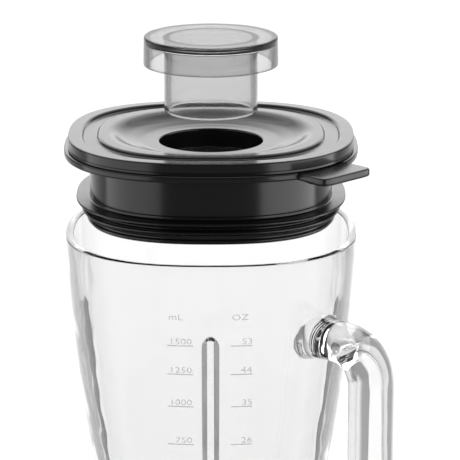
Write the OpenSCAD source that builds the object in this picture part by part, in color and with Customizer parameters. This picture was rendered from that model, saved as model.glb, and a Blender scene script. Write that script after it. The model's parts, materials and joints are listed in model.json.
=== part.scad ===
// Countertop blender: motor base, glass jar with its blade unit, sealed lid and measuring cap.
// +Z is up and the drive axis is the Z axis. The origin is on the worktop, under the drive axis.
// The front, with the speed knob, faces -Y. The lid and the cap are held above their seats.

/* [Jar] */
// Half of the rim's width, across its flat sides
rim_half = 73.8; // [68:0.2:78]
// Half of the jar's width just above its round neck
foot_half = 50.2; // [49.6:0.2:54]
// Half width that the wall loses per millimetre just below the rim
jar_taper = 0.045; // [0.02:0.005:0.06]
// How square the jar and the lid are, as a superellipse power
squareness = 2.5; // [2.2:0.1:3]
// Height of the glass, from its bottom edge to the rim
jar_h = 199; // [165:1:240]
// Thickness of the glass
jar_wall = 4; // [3.4:0.2:4.8]
// Outer radius of the round neck at the bottom of the glass
neck_r = 45; // [43:0.5:46]
// Height of that neck
neck_h = 18; // [14:1:22]
// Thickness of the glass at the neck
neck_wall = 5; // [4:0.5:6]
// How far the three inner ribs, at the front and both sides, stand out of the glass
rib_out = 2.2; // [1.4:0.2:3]

/* [Handle] */
// Distance from the jar's axis to the middle of the grip
grip_reach = 111; // [102:1:113]
// Thickness of the grip, towards the jar
grip_thick = 19; // [15:0.5:22]
// Width of the grip, around the jar
grip_wide = 24.6; // [20:0.2:26]
// Depth of the upper root's middle below the rim
root_drop = 41; // [34:1:55]
// Height of the lower root's middle above the bottom of the glass
root_rise = 36; // [32:1:45]
// Radius of the handle's two bends
grip_bend = 18; // [15:1:24]

/* [Lid] */
// How far the upper plate stays inside the rim's outline
plate_inset = 1.9; // [1:0.1:3]
// Thickness of the upper plate
plate_h = 4.7; // [4:0.1:6]
// Height of the groove below the plate
groove_h = 1.2; // [0.8:0.1:2]
// Depth of that groove
groove_in = 1.5; // [1:0.1:2.5]
// How far the lower flange stands out past the rim
flange_out = 0.2; // [0:0.1:1]
// Thickness of the lower flange
flange_h = 3.4; // [2.6:0.1:5]
// Radius of the filler hole
hole_r = 26.1; // [22:0.1:28]
// Width of the flat ring around the filler hole
ledge_w = 9.2; // [7:0.1:10]
// Width of the sloping dish around that flat ring
dish_w = 14.7; // [8:0.1:16]
// Depth of the flat ring below the plate's top
dish_h = 4.8; // [3:0.1:6]
// Depth of the shallow channel that follows the plate's edge
channel_h = 1.6; // [0.8:0.1:2]
// Width of that channel
channel_w = 7.5; // [5:0.1:9]
// Distance from the plate's edge to the channel
channel_in = 7.4; // [5:0.1:9]
// Gap between the lid's neck and the glass at the rim
lid_neck_gap = 8.5; // [7:0.1:10]
// Height of the lid's neck
lid_neck_h = 20; // [16:0.5:24]
// Wall of the lid's neck
lid_neck_wall = 3; // [2:0.1:4]
// Height of the soft seal below the neck
seal_h = 13; // [11:0.5:16]
// Thickness of each sealing lip
lip_t = 1.8; // [1.2:0.1:2.4]
// How much narrower each lip is than the one above it
lip_step = 2.3; // [1.5:0.1:3]
// Width of the lifting tab
tab_w = 34; // [24:1:40]
// How far the tab reaches past the flange's corner
tab_out = 15.5; // [10:0.5:20]
// Height at which the lid is held above its seat
lid_up = 41.5; // [0:0.5:60]

/* [Measuring cap] */
// Thickness of the cap's top
cap_t = 3.6; // [2.5:0.1:5]
// Height of the cap's outer skirt
skirt_h = 11; // [7:0.5:14]
// Wall of the skirt
skirt_wall = 2.6; // [2:0.1:3.5]
// Gap between the skirt and the end of the lid's flat ring
skirt_gap = 1.3; // [0.5:0.1:2]
// Gap between the plug and the filler hole
plug_gap = 2.5; // [1:0.1:3]
// Length of the plug below the cap's top
plug_h = 34.7; // [24:0.1:40]
// Wall of the plug
plug_wall = 2.1; // [1.6:0.1:3]
// Height at which the cap is held above its seat
cap_up = 39; // [0:0.5:50]

/* [Base] */
// Half of the base's width at its bottom
base_half = 100; // [92:1:120]
// Half of the base's width at its top
crown_half = 68; // [66:1:80]
// Height of the housing's flat top above the worktop
base_h = 172; // [165:1:210]
// Wall of the housing
base_wall = 2.8; // [2:0.1:3.6]
// Height of the upright skirt at the bottom
skirt_up = 12; // [8:1:18]
// Height of the rubber feet
foot_h = 6; // [4:0.5:9]
// Height of the trim band above the skirt
band_h = 3; // [2:0.5:6]
// How far that band stands out past the housing
band_out = 0.8; // [0.4:0.1:1.5]
// Thickness of the bottom cover
cover_t = 3; // [2:0.5:4]
// Height of the round boss that centres the jar
boss_h = 4; // [3:0.5:6]
// Thickness of the soft pad on the boss
pad_t = 2; // [1:0.5:3]

/* [Jar collar] */
// Height from the housing's top to the bottom edge of the glass
collar_lift = 30; // [28:1:34]
// Wall of the collar beside the glass neck
collar_wall = 10; // [8:0.5:12]
// How far the collar flares out at its foot
collar_flare = 5.5; // [2:0.5:7]

/* [Controls] */
// Width of the control panel
panel_w = 78; // [70:1:90]
// Height of the control panel along the sloping front
panel_h = 96; // [92:1:104]
// Radius of the speed knob
knob_r = 18.5; // [15:0.5:20]
// Height of the speed knob
knob_h = 11; // [8:0.5:12]
// Radius of the pulse button
button_r = 8; // [6:0.5:9]
// Travel of the pulse button
button_stroke = 2.5; // [1.5:0.5:3]
// Travel of the jar sensing pin
pin_stroke = 3; // [2:0.5:3.5]

/* [Drive] */
// Radius of the motor shaft and of the blade shaft
shaft_r = 4; // [3.5:0.1:5]
// Radius of the armature
armature_r = 20; // [18:0.5:24]
// Height of the lamination stack
stack_h = 40; // [30:1:46]
// Reach of the blades from the axis
blade_reach = 30; // [24:1:33]
// Thickness of the blades
blade_t = 1.5; // [1:0.1:2]

/* [Clearances] */
// Gap between a sealing lip and the glass
lip_gap = 0.3; // [0.2:0.1:0.6]
// Radial clearance of a shaft in its bush
run_gap = 0.05; // [0.02:0.01:0.09]
// Gap between moving parts that don't touch
free_gap = 0.5; // [0.3:0.1:1]

/* [Hidden] */
$fn = 48;
SIDES = 64;

// Heights up the stack
skirt_z = foot_h + skirt_up;
slope_z = skirt_z + band_h;
boss_z = base_h + boss_h;
pad_z = boss_z + pad_t;
glass_z = base_h + collar_lift;
rim_z = glass_z + jar_h;
lid_z = rim_z + lid_up + flange_h + groove_h + plate_h;
ledge_z = lid_z - dish_h;
cap_z = ledge_z + cap_up + skirt_h + cap_t;

// Jar: the half width at a depth below the rim, and its wall
shoulder_h = 5;
side_h = jar_h - neck_h - shoulder_h;
bulge = rim_half - foot_half - jar_taper * side_h;
function side_half(t) = rim_half - jar_taper * t - bulge * pow(t / side_h, 2);
function side_power(t) = 2 + (squareness - 2) * min(1, 2.2 * (1 - t / side_h));
function corner_r(t) = side_half(t) * pow(2, 0.5 - 1 / side_power(t));
rim_round = 1.4;

// Lid, measured from the plate's top
plate_half = rim_half - plate_inset;
flange_half = rim_half + flange_out;
neck_half = rim_half - jar_wall - lid_neck_gap;
lid_neck_r = neck_half - lid_neck_wall;
flange_z = lid_z - plate_h - groove_h - flange_h;
seal_z = flange_z - lid_neck_h;
ledge_r = hole_r + ledge_w;
dish_r = ledge_r + dish_w;
hub_t = 3;
tab_t = flange_h + 0.6;
flange_corner = flange_half * pow(2, 0.5 - 1 / squareness);

// Cap
skirt_r = ledge_r - skirt_gap;
plug_r = hole_r - plug_gap;

// Base
slope_h = base_h - slope_z;
tilt = atan((base_half - crown_half) / slope_h);
corner_low = 34;
corner_top = 24;
panel_z = (base_h + slope_z) / 2 + 1;
face_t = (band_out + base_wall) * cos(tilt);
crown_t = 3.2;
function wall_at(z) = base_half - (base_half - crown_half) * (z - slope_z) / slope_h;
foot_at = base_half - 30;
screw_at = base_half - 18;
board_y = screw_at - 24;
cover_z = foot_h;
cover_top = cover_z + cover_t;

// Collar and blade unit
collar_in = neck_r + 0.3;
socket_r = neck_r + 1.3;
boss_r = socket_r - free_gap;
shelf_t = 4;
gasket_t = 2;
holder_t = 4;
holder_z = glass_z - gasket_t - holder_t;
shelf_z = holder_z - shelf_t;
neck_in = neck_r - neck_wall;
hub_top = glass_z + 22;
bush_r = shaft_r + 3;
tube_r = bush_r + 3;
tube_z = holder_z - 5;
washer_t = 1.2;
blade_z = hub_top + washer_t;
spacer_h = 4;
nut_h = 7;
shaft_top = blade_z + 2 * blade_t + spacer_h + nut_h - 1.5;

// Drive couplings: a toothed star inside a toothed socket
star_z = pad_z;
star_h = 8;
star_r = shaft_r + 6;
tooth_r = star_r + 5;
tooth_w = 5;
socket_z = pad_z + 0.8;
coupling_r = tooth_r + 4;

// Motor
stack_z = base_h - 94;
stack_top = stack_z + stack_h;
coil_h = 9;
stator_x = armature_r + 18;
stator_y = armature_r + 11;
post_x = stator_x - 6;
post_y = stator_y - 6;
upper_z = stack_top + coil_h + 4;
lower_z = stack_z - 32;
bearing_r = shaft_r + 7;
bearing_h = 8;
ear_x = stator_x + 7;
ear_y = stator_y + 1;
fan_z = lower_z - 28;
fan_r = 36;
brush_z = lower_z + 7;
brush_h = 9;
comm_r = 12;

// Controls, in the panel's own frame: x right, y up the front, z out of it
knob_y = 14;
button_y = -28;
inlet_z = 38;
// Where the inlet's inner flange starts: behind the sloping wall at the flange's upper edge
inlet_back = -(band_out + base_wall) / cos(tilt) - 9 * tan(tilt) - 1;
pin_at = socket_r + collar_wall / 2 + 1;

// Shapes

// Points of a superellipse of half width a and power n
function squircle(a, n) = [
  for (i = [0:SIDES - 1]) let(t = 360 * i / SIDES,
    r = a / pow(pow(abs(cos(t)), n) + pow(abs(sin(t)), n), 1 / n)) [r * cos(t), r * sin(t)]
];

function ring_at(a, n, z) = [for (p = squircle(a, n)) [p.x, p.y, z]];

// Closed skin through rings of points: around and back to the first ring, or capped at both ends
module loft(rings, hollow) {
  k = len(rings[0]);
  m = len(rings);
  side = [
    for (i = [0:m - (hollow ? 1 : 2)], j = [0:k - 1]) let(a = i * k, b = ((i + 1) % m) * k, q = (j + 1) % k)
      each [[a + j, b + j, b + q], [a + j, b + q, a + q]]
  ];
  ends = hollow ? [] : [[for (j = [0:k - 1]) j], [for (j = [k - 1:-1:0]) (m - 1) * k + j]];
  polyhedron(points = [for (r = rings) each r], faces = concat(side, ends), convexity = 6);
}

module prism(a, n, z, h) {
  translate([0, 0, z]) linear_extrude(h) polygon(squircle(a, n));
}

module rod(r, z, h) {
  translate([0, 0, z]) cylinder(r = r, h = h);
}

module tube(r, bore, z, h) {
  difference() {
    rod(r, z, h);
    rod(bore, z - 1, h + 2);
  }
}

module box(w, d, z, h) {
  translate([-w / 2, -d / 2, z]) cube([w, d, h]);
}

module four(x, y) {
  for (sx = [-1, 1], sy = [-1, 1]) translate([sx * x, sy * y, 0]) children();
}

module cross(d) {
  for (a = [0:90:270]) rotate([0, 0, a]) translate([d, 0, 0]) children();
}

// Square with round corners
module rounded(a, r, b) {
  d = b == undef ? a : b;
  square([2 * a, 2 * (d - r)], center = true);
  square([2 * (a - r), 2 * d], center = true);
  for (sx = [-1, 1], sy = [-1, 1]) translate([sx * (a - r), sy * (d - r)]) circle(r);
}

// Tapered block with round corners, eased in at its top
module bell(inset, top) {
  levels = [
    [slope_z, base_half, corner_low], [base_h - 6, wall_at(base_h - 6), corner_top + 0.4],
    [base_h - 1.8, wall_at(base_h - 1.8) - 1.6, corner_top], [base_h, wall_at(base_h) - 5, corner_top - 3]
  ];
  hull() for (l = levels) let(a = l[1] - inset, r = l[2] - inset, z = l[0] - (l[0] > slope_z ? top + 0.02 : 0))
    four(a - r, a - r) translate([0, 0, z]) cylinder(r = r, h = 0.02, $fn = 32);
}

// Places its children on the sloping front, z pointing out of it
module on_front() {
  translate([0, -wall_at(panel_z), panel_z]) rotate([90 - tilt, 0, 0]) children();
}

// Open coil of round wire, standing on z
module coil(r, wire, z, h, turns) {
  steps = 12 * turns;
  rise = (h - 2 * wire) / steps;
  loft([
    for (i = [0:steps]) let(t = 30 * i)
      [for (j = [0:5]) let(u = -60 * j, w = r + wire * cos(u)) [w * cos(t), w * sin(t), z + wire + rise * i + wire * sin(u)]]
  ], false);
}

// Measuring cap

module filler_cap() {
  color([0.62, 0.62, 0.63, 0.8]) rotate_extrude($fn = 96) polygon([
    [0, cap_z - cap_t], [plug_r - plug_wall, cap_z - cap_t], [plug_r - plug_wall, cap_z - cap_t - plug_h],
    [plug_r, cap_z - cap_t - plug_h], [plug_r, cap_z - cap_t], [skirt_r - skirt_wall, cap_z - cap_t],
    [skirt_r - skirt_wall, cap_z - cap_t - skirt_h], [skirt_r, cap_z - cap_t - skirt_h],
    [skirt_r - 0.3, cap_z - 1], [skirt_r - 1.3, cap_z], [0, cap_z]
  ]);
}

// Lid

module lid_cover() {
  color([0.14, 0.14, 0.15]) difference() {
    union() {
      prism(plate_half, squareness, lid_z - plate_h, plate_h);
      translate([0, 0, lid_z]) rotate_extrude($fn = 96) polygon([
        [hole_r - 1, -dish_h - hub_t], [ledge_r, -dish_h - hub_t], [dish_r + 2, -plate_h],
        [dish_r + 2, -plate_h + 1], [hole_r - 1, -plate_h + 1]
      ]);
      tube(hole_r + 2.4, hole_r - 1, ledge_z - 10, 9);
    }
    translate([0, 0, lid_z]) rotate_extrude($fn = 96)
      polygon([[0, -dish_h], [ledge_r, -dish_h], [dish_r, 0], [dish_r, 1], [0, 1]]);
    difference() {
      prism(plate_half - channel_in, squareness, lid_z - channel_h, channel_h + 1);
      prism(plate_half - channel_in - channel_w, squareness, lid_z - channel_h - 1, channel_h + 3);
    }
    rod(hole_r, ledge_z - 12, dish_h + 14, $fn = 96);
  }
}

module lid_ring() {
  reach = flange_corner + tab_out;
  color([0.12, 0.12, 0.13]) difference() {
    union() {
      prism(flange_half, squareness, flange_z, flange_h);
      prism(plate_half - groove_in, squareness, flange_z + flange_h - 0.01, groove_h + 0.01);
      prism(neck_half, squareness, seal_z, lid_neck_h + 1);
      difference() {
        rotate([0, 0, -45]) translate([reach / 2 + 20, 0, flange_z + flange_h - tab_t]) linear_extrude(tab_t)
          rounded((reach - 40) / 2, 5, tab_w / 2);
        prism(rim_half + free_gap, squareness, flange_z - 2, 2);
      }
    }
    prism(lid_neck_r, squareness, seal_z - 1, 60);
  }
}

module lid_seal() {
  depth = lid_neck_h;
  color([0.1, 0.1, 0.11]) difference() {
    union() {
      prism(neck_half, squareness, seal_z - seal_h, seal_h);
      for (i = [0:2]) let(z = depth + 1.5 + i * (seal_h - lip_t - 1.5) / 2)
        prism(side_half(z) - jar_wall - lip_gap - i * lip_step, squareness, seal_z - z + depth - lip_t, lip_t);
    }
    prism(lid_neck_r, squareness, seal_z - seal_h - 1, seal_h + 2);
  }
}

// Jar

// Glass wall: up the outside, over the rim and down the inside
module jar_wall_shell() {
  steps = 11;
  outer = [
    for (i = [0:steps]) let(t = side_h * (1 - i / steps) + (i == steps ? rim_round : 0))
      ring_at(side_half(t), side_power(t), rim_z - t)
  ];
  inner = [
    for (i = [0:steps]) let(t = side_h * i / steps + (i == 0 ? rim_round : 0))
      ring_at(side_half(t) - jar_wall, side_power(t), rim_z - t)
  ];
  loft(concat(
    [ring_at(neck_r, 2, glass_z), ring_at(neck_r, 2, glass_z + neck_h)], outer,
    [ring_at(rim_half - rim_round, squareness, rim_z), ring_at(rim_half - jar_wall + rim_round, squareness, rim_z)],
    inner, [ring_at(neck_in, 2, glass_z + neck_h + 2), ring_at(neck_in, 2, glass_z)]
  ), true);
}

// Centre line of the handle in the plane of its corner, as [reach, height, direction]
function grip_path() =
  let(top = rim_z - root_drop, low = glass_z + root_rise, b = grip_bend, x = grip_reach - b)
  concat(
    [[corner_r(root_drop) - jar_wall * 0.6, top, 0]],
    [for (a = [0:15:90]) [x + b * sin(a), top - b + b * cos(a), a]],
    [for (a = [90:15:180]) [x + b * sin(a), low + b + b * cos(a), a]],
    [[corner_r(jar_h - root_rise) - jar_wall * 0.6, low, 180]]
  );

module jar_handle() {
  rotate([0, 0, -45]) loft([
    for (p = grip_path()) [
      for (j = [0:23]) let(u = -15 * j, d = grip_thick / 2 * cos(u), w = grip_wide / 2 * sin(u))
        [p[0] + d * sin(p[2]), w, p[1] + d * cos(p[2])]
    ]
  ], false);
}

module jar_ribs() {
  function rib_at(t) = [side_half(t) - jar_wall + 1.6, 0, rim_z - t];
  for (side = [-90, 0, 180]) rotate([0, 0, side]) for (i = [0:3]) hull() {
    for (t = [48 + i * (side_h - 60) / 4, 48 + (i + 1) * (side_h - 60) / 4])
      translate(rib_at(t)) scale([(rib_out + 1.6) / 3.6, 1, 1]) sphere(3.6, $fn = 12);
  }
}

module glass_jar() {
  color([0.85, 0.9, 0.9, 0.4]) union() {
    jar_wall_shell();
    jar_handle();
    jar_ribs();
  }
}

module jar_collar() {
  top = glass_z + neck_h - 1;
  r = neck_r + collar_wall;
  color([0.13, 0.13, 0.14]) difference() {
    rotate_extrude($fn = 96) polygon([
      [socket_r, base_h], [r + collar_flare, base_h], [r + collar_flare, base_h + 4], [r, shelf_z + 8],
      [r, top - 3], [r - 3, top], [collar_in, top], [collar_in, holder_z], [neck_in - 3, holder_z],
      [neck_in - 3, shelf_z], [socket_r, shelf_z]
    ]);
    for (a = [0:15:345]) rotate([0, 0, a]) translate([r + 1.2, 0, shelf_z + 8]) cylinder(r = 2.4, h = 30, $fn = 16);
    cross(socket_r) box(6, 9, base_h - 1, boss_h + 2.5);
  }
}

module jar_gasket() {
  color([0.85, 0.85, 0.83]) tube(neck_r - 0.4, neck_in - 1, glass_z - gasket_t, gasket_t);
}

module blade_holder() {
  color([0.15, 0.15, 0.16]) difference() {
    union() {
      rod(neck_r - 0.4, holder_z, holder_t, $fn = 96);
      translate([0, 0, holder_z]) cylinder(r1 = neck_in - 1.4, r2 = neck_in - 6, h = 11, $fn = 96);
      rod(tube_r, tube_z, hub_top - tube_z);
    }
    rod(bush_r, tube_z - 1, 9);
    rod(shaft_r + 1, tube_z, 60);
    rod(bush_r, hub_top - 10, 12);
  }
}

module blade_bushes() {
  color([0.72, 0.55, 0.3]) for (z = [tube_z, hub_top - 10]) tube(bush_r, shaft_r + run_gap, z, 8);
}

module shaft_seal() {
  color([0.2, 0.2, 0.2]) tube(bush_r, shaft_r + run_gap, hub_top - 2, 2);
}

// Blades and their shaft

module blade_shaft() {
  color([0.75, 0.76, 0.78]) union() {
    rod(shaft_r, socket_z + star_h, blade_z - socket_z - star_h);
    rod(shaft_r - 1, blade_z, shaft_top - blade_z);
  }
}

module thrust_washer() {
  color([0.9, 0.9, 0.88]) tube(bush_r, shaft_r + run_gap, hub_top, washer_t);
}

// Two wings on a flat hub, cranked up past it
module wings(crank) {
  root = 11;
  reach = (blade_reach - root) / cos(crank);
  difference() {
    union() {
      rod(9, 0, blade_t);
      for (s = [0, 180]) rotate([0, 0, s]) {
        translate([0, -6, 0]) cube([root, 12, blade_t]);
        translate([root, 0, 0]) rotate([0, -crank, 0]) translate([-1, 0, 0]) linear_extrude(blade_t)
          polygon([[0, -5.5], [reach * 0.75, -5.5], [reach, 0], [reach * 0.9, 3.4], [0, 5.5]]);
      }
    }
    rod(shaft_r - 1 + run_gap, -1, 10);
  }
}

module lower_blade() {
  color([0.8, 0.81, 0.83]) translate([0, 0, blade_z + blade_t]) mirror([0, 0, 1]) wings(22);
}

module blade_spacer() {
  color([0.7, 0.71, 0.73]) tube(7, shaft_r - 1 + run_gap, blade_z + blade_t, spacer_h);
}

module upper_blade() {
  color([0.8, 0.81, 0.83]) translate([0, 0, blade_z + blade_t + spacer_h]) rotate([0, 0, 90]) wings(38);
}

module blade_nut() {
  z = blade_z + 2 * blade_t + spacer_h;
  color([0.72, 0.73, 0.75]) difference() {
    union() {
      translate([0, 0, z]) cylinder(r = 7, h = nut_h - 2, $fn = 6);
      rod(5.2, z, nut_h);
    }
    rod(shaft_r - 1 + run_gap, z - 1, nut_h);
  }
}

// Star with six teeth; gap grows it into the socket that it drives
module star(z, h, gap) {
  rod(star_r + gap, z, h);
  for (a = [0:60:120]) rotate([0, 0, a]) box(2 * (tooth_r + gap), tooth_w + 2 * gap, z, h);
}

module jar_coupling() {
  color([0.18, 0.18, 0.18]) difference() {
    rod(coupling_r, socket_z, tube_z - free_gap - socket_z);
    star(socket_z - 1, star_h + 1, free_gap);
    rod(shaft_r, socket_z, star_h + 8);
  }
}

module drive_coupling() {
  color([0.2, 0.2, 0.21]) difference() {
    star(star_z + 0.3, star_h - 0.3, 0);
    rod(shaft_r, star_z - 1, star_h - 2);
  }
}

// Rotor

module motor_shaft() {
  color([0.7, 0.71, 0.73]) rod(shaft_r, fan_z - 4, star_z + star_h - 3 - fan_z + 4);
}

module armature_core() {
  color([0.45, 0.46, 0.48]) difference() {
    rod(armature_r, stack_z, stack_h);
    for (a = [0:30:330]) rotate([0, 0, a]) translate([armature_r - 7, -1.2, stack_z - 1]) cube([8, 2.4, stack_h + 2]);
    rod(shaft_r, stack_z - 1, stack_h + 2);
  }
}

module armature_winding() {
  color([0.72, 0.38, 0.16]) for (z = [stack_z - 8, stack_top]) tube(armature_r - 3, shaft_r + 1, z, 8);
}

module commutator() {
  color([0.75, 0.5, 0.3]) difference() {
    rod(comm_r, brush_z - 2, brush_h + 6);
    for (a = [0:15:345]) rotate([0, 0, a]) translate([comm_r - 1, -0.3, brush_z - 2]) cube([2, 0.6, brush_h + 7]);
    rod(shaft_r, brush_z - 5, 30);
  }
}

module cooling_fan() {
  color([0.85, 0.85, 0.83]) difference() {
    union() {
      rod(fan_r, fan_z, 2);
      rod(8, fan_z - 2, 14);
      for (a = [0:40:320]) rotate([0, 0, a]) translate([12, -0.8, fan_z + 1]) cube([fan_r - 13, 1.6, 9]);
    }
    rod(shaft_r, fan_z - 5, 30);
  }
}

// Motor frame

module stator_core() {
  color([0.4, 0.41, 0.43]) difference() {
    box(2 * stator_x, 2 * stator_y, stack_z, stack_h);
    rod(armature_r + free_gap, stack_z - 1, stack_h + 2);
    for (s = [-1, 1]) translate([0, s * (armature_r + 2), stack_z - 1]) box(26, 8, 0, stack_h + 2);
    four(post_x, post_y) rod(2.2, stack_z - 1, stack_h + 2);
  }
}

module field_coils() {
  color([0.75, 0.42, 0.2]) for (z = [stack_z - coil_h, stack_top]) difference() {
    tube(armature_r + 9, armature_r + 2, z, coil_h);
    box(8, 90, z - 1, coil_h + 2);
    box(90, 8, z - 1, coil_h + 2);
  }
}

module upper_bracket() {
  color([0.66, 0.67, 0.69]) difference() {
    union() {
      box(2 * ear_x + 14, 26, upper_z, 4);
      four(post_x, post_y) rod(4.2, stack_top, upper_z + 4 - stack_top);
      four(ear_x, ear_y) rod(9, upper_z, 4);
      for (s = [-1, 1]) translate([s * ear_x, 0, 0]) box(14, 2 * ear_y, upper_z, 4);
      box(2 * post_x, 2 * post_y, upper_z, 4);
      rod(bearing_r + 3, upper_z, bearing_h + 6);
    }
    rod(bearing_r, upper_z - 1, bearing_h + 1);
    rod(shaft_r + 2, upper_z, 30);
    four(ear_x, ear_y) rod(5, upper_z - 1, 6);
    four(post_x, post_y) rod(2.2, stack_top - 1, 60);
  }
}

module lower_bracket() {
  color([0.66, 0.67, 0.69]) difference() {
    union() {
      box(2 * post_x + 8, 2 * post_y + 8, lower_z, 4);
      four(post_x, post_y) rod(4.2, lower_z, stack_z - lower_z);
      rod(bearing_r + 3, lower_z - bearing_h, bearing_h + 4);
    }
    rod(bearing_r, lower_z - bearing_h + 3, bearing_h + 4);
    rod(shaft_r + 2, lower_z - 20, 30);
    four(post_x, post_y) rod(2.2, lower_z - 1, 60);
  }
}

module motor_bearings() {
  color([0.8, 0.81, 0.83]) for (z = [upper_z, lower_z - bearing_h + 3])
    tube(bearing_r, shaft_r + run_gap, z, bearing_h);
}

module brush_holders() {
  color([0.35, 0.2, 0.1]) for (s = [0, 180]) rotate([0, 0, s]) translate([0, comm_r + 9, 0]) difference() {
    box(11, 14, lower_z + 4, brush_h + 5);
    box(6.6, 20, brush_z + 1, 6.6);
  }
}

module carbon_brushes() {
  color([0.16, 0.16, 0.17]) for (s = [0, 180]) rotate([0, 0, s])
    translate([0, comm_r + 0.3 + 5, 0]) box(6, 10, brush_z + 1.3, 6);
}

module brush_springs() {
  color([0.7, 0.7, 0.72]) for (s = [0, 180]) rotate([0, 0, s])
    translate([0, comm_r + 10.5, brush_z + 4.3]) rotate([-90, 0, 0]) coil(2.2, 0.3, 0, 5.4, 3);
}

module motor_grommets() {
  color([0.15, 0.15, 0.15]) four(ear_x, ear_y) difference() {
    union() {
      rod(5, upper_z, 4);
      rod(7.5, upper_z - 2.5, 2.5);
      rod(7.5, upper_z + 4, 2.5);
    }
    rod(2.1, upper_z - 4, 20);
  }
}

module motor_screws() {
  color([0.75, 0.75, 0.77]) four(ear_x, ear_y) {
    rod(2, upper_z - 2.5, 22);
    rod(4.2, upper_z - 4.7, 2.2);
  }
}

// Base

module base_housing() {
  boss_low = upper_z + 6.5;
  color([0.13, 0.13, 0.14]) difference() {
    union() {
      difference() {
        union() {
          translate([0, 0, foot_h]) linear_extrude(skirt_up) rounded(base_half - band_out, corner_low - band_out);
          translate([0, 0, skirt_z]) linear_extrude(band_h + 0.02) rounded(base_half - 2.2, corner_low - 2.2);
          bell(band_out, 0);
        }
        translate([0, 0, foot_h - 1]) linear_extrude(slope_z - foot_h + 1.02)
          rounded(base_half - band_out - base_wall, corner_low - band_out - base_wall);
        bell(band_out + base_wall, crown_t);
      }
      rod(boss_r, base_h - crown_t, boss_h + crown_t, $fn = 96);
      cross(boss_r - 1.5) box(6, 7.5, base_h - 1, boss_h + 1);
      four(ear_x, ear_y) rod(5.5, boss_low, base_h - 1 - boss_low);
      cross(screw_at) {
        rod(5.5, cover_top, 18);
        translate([0, -1.2, cover_top]) cube([base_half - band_out - 2 - screw_at, 2.4, 8]);
      }
      translate([0, pin_at + 6.5 + 1.5, 0]) box(16, 3, base_h - 30, 28);
    }
    rod(shaft_r + 9, base_h - 10, 30);
    four(ear_x, ear_y) rod(2.05, boss_low - 1, 14);
    cross(screw_at) rod(1.7, cover_top - 1, 16);
    translate([0, pin_at, 0]) rod(2.5 + run_gap, base_h - 10, 20);
    on_front() {
      translate([0, 0, -2]) linear_extrude(9) rounded(panel_w / 2 + 0.2, 8.2, panel_h / 2 + 0.2);
      translate([0, knob_y, -9]) cylinder(r = 6, h = 12);
      translate([0, button_y, -9]) cylinder(r = button_r + 0.3, h = 12);
    }
    translate([0, wall_at(inlet_z), inlet_z]) rotate([-90, 0, 0]) {
      translate([0, 0, -12]) cylinder(r = 7.05, h = 16);
      translate([0, 0, -1]) cylinder(r = 9.6, h = 9);
    }
  }
}

module trim_band() {
  color([0.72, 0.73, 0.75]) translate([0, 0, skirt_z]) linear_extrude(band_h) difference() {
    rounded(base_half, corner_low);
    rounded(base_half - 2.2, corner_low - 2.2);
  }
}

module bottom_cover() {
  a = base_half - band_out - base_wall - 0.3;
  color([0.16, 0.16, 0.17]) difference() {
    union() {
      translate([0, 0, cover_z]) linear_extrude(cover_t) rounded(a, corner_low - 1.1 - base_wall);
      four(30, 8) translate([0, board_y, 0]) rod(3, cover_top, 5);
    }
    for (i = [-5:5]) translate([i * 7, 0, 0]) box(3, 48, cover_z - 1, cover_t + 2);
    four(foot_at, foot_at) rod(5.05, cover_z - 1, cover_t + 2);
    cross(screw_at) rod(2.3, cover_z - 1, cover_t + 2);
  }
}

module rubber_feet() {
  color([0.1, 0.1, 0.1]) four(foot_at, foot_at) {
    translate([0, 0, 1.5]) cylinder(r = 12, h = foot_h - 1.5);
    translate([0, 0, 0]) cylinder(r1 = 10.5, r2 = 12, h = 1.5);
    rod(5, foot_h, cover_t);
    rod(6.2, cover_top, 2);
  }
}

module cover_screws() {
  color([0.75, 0.75, 0.77]) cross(screw_at) {
    rod(1.7, cover_z - 0.5, 16);
    rod(3.8, cover_z - 2.6, 2.6);
  }
}

module seat_pad() {
  color([0.2, 0.2, 0.2]) tube(boss_r - 2, coupling_r + 1, boss_z, pad_t);
}

module splash_seal() {
  color([0.22, 0.22, 0.22]) union() {
    tube(shaft_r + 9, shaft_r + 1, base_h - 2, boss_h + 2);
    tube(shaft_r + 12, shaft_r + 6, boss_z, 1);
  }
}

// Controls

module control_panel() {
  color([0.68, 0.69, 0.71]) on_front() difference() {
    translate([0, 0, -2]) linear_extrude(2) rounded(panel_w / 2, 8, panel_h / 2);
    translate([0, knob_y, -9]) cylinder(r = 6, h = 12);
    translate([0, button_y, -9]) cylinder(r = button_r + 0.3, h = 12);
  }
}

module speed_knob() {
  color([0.12, 0.12, 0.13]) on_front() translate([0, knob_y, 0]) difference() {
    union() {
      translate([0, 0, free_gap]) cylinder(r = knob_r, h = 3);
      translate([0, 0, 3]) cylinder(r1 = knob_r - 2, r2 = knob_r - 3, h = knob_h - 3);
    }
    translate([0, 0, -1]) cylinder(r = 3, h = knob_h - 2);
    translate([-1.2, knob_r - 8, knob_h - 0.8]) cube([2.4, 6, 2]);
  }
}

module knob_spindle() {
  color([0.75, 0.75, 0.77]) on_front() translate([0, knob_y, -face_t - 8]) cylinder(r = 3, h = face_t + 5 + knob_h);
}

module rotary_switch() {
  z = -face_t - 1;
  color([0.88, 0.88, 0.85]) on_front() translate([0, knob_y, 0]) difference() {
    union() {
      translate([-14, -14, z - 18]) cube([28, 28, 18]);
      for (x = [-8, 0, 8]) translate([x - 1.5, -3, z - 25]) cube([3, 0.8, 8]);
    }
    translate([0, 0, z - 8]) cylinder(r = 3 + run_gap, h = 12);
  }
}

module pulse_button() {
  color([0.14, 0.14, 0.15]) on_front() translate([0, button_y, 0]) {
    translate([0, 0, -face_t - 1]) cylinder(r = button_r, h = face_t + 1 + 4);
    translate([0, 0, -face_t - 3.3]) cylinder(r = button_r + 2, h = 2);
    translate([0, 0, -face_t - 8]) cylinder(r = 2, h = 8);
  }
}

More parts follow.
